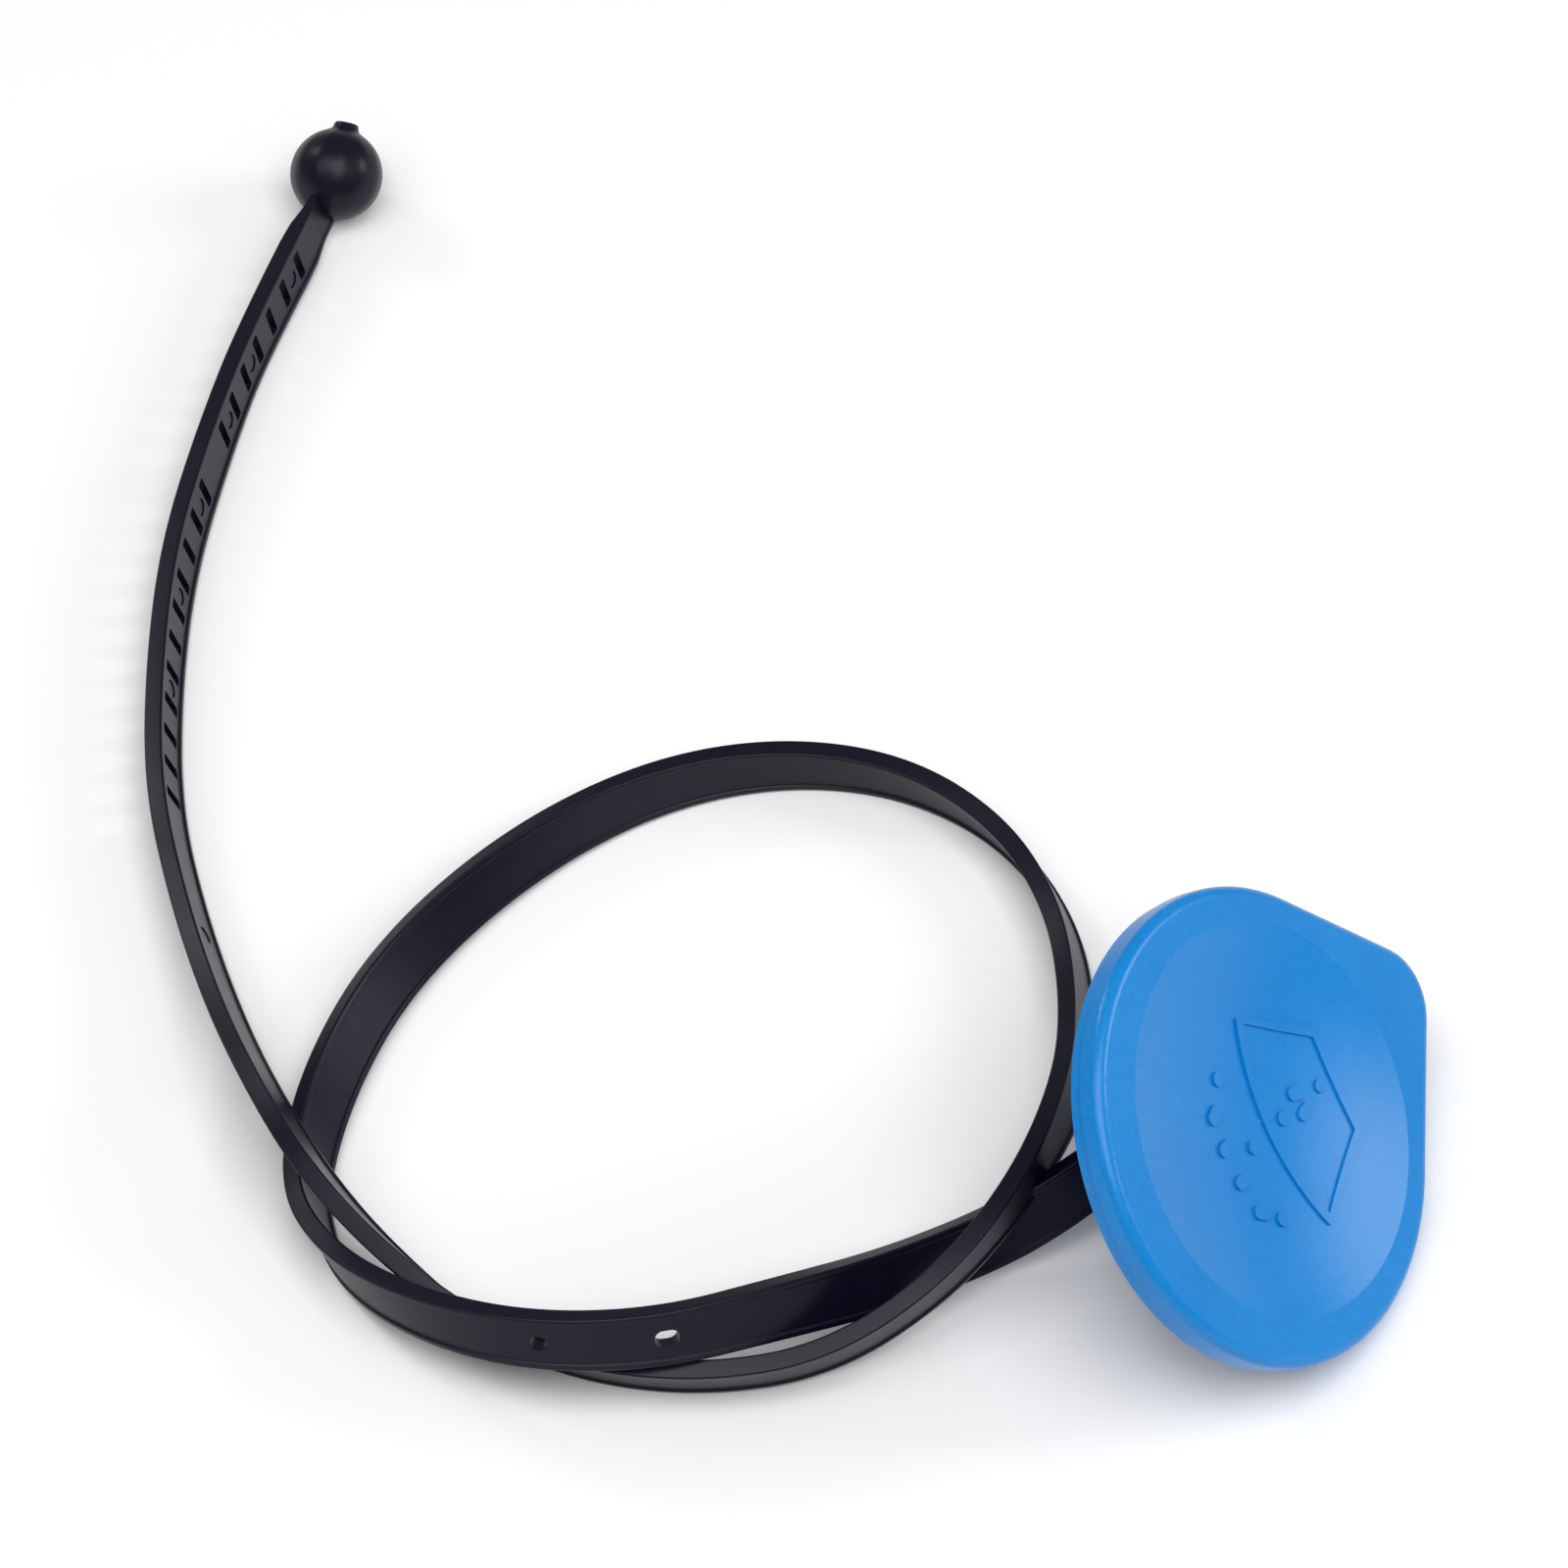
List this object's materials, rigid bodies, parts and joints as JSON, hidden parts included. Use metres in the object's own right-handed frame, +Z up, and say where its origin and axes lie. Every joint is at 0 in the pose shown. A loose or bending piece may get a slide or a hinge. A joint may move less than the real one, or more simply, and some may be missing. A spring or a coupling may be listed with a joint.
{
  "type": "washer reservoir cap",
  "caption": "Round dished snap cap with a corner finger tab, swivelling on a long moulded strap that lies in a loop and ends in a ball.",
  "frame": {"origin": "on the table, under the middle of the cap's own box, measured without the strap and its ball", "axes": "+Z up from the table; the cap leans back with its face towards +X, turned 21.4 degrees to -Y and raised 41.6 degrees; the strap's loop lies towards -X and its ball towards +Y"},
  "size_m": [0.1529, 0.1963, 0.0441],
  "materials": {
    "blue_moulding": "fine satin",
    "black_moulding": "satin",
    "seal_rubber": "matt"
  },
  "bodies": {
    "tether": {"swivel_stud": "black_moulding", "tether_strap": "black_moulding", "ball_end": "black_moulding"},
    "cap": {"cap_cover": "blue_moulding", "plug_skirt": "blue_moulding", "neck_seal": "seal_rubber", "swivel_socket": "blue_moulding"}
  },
  "joints": [
    {"name": "cap_swivel", "type": "hinge", "parent": "tether", "child": "cap", "pos_m": [-0.00136, -0.00064, 0.02107], "axis": [0.6962, -0.2729, 0.6639], "continuous": true}
  ]
}
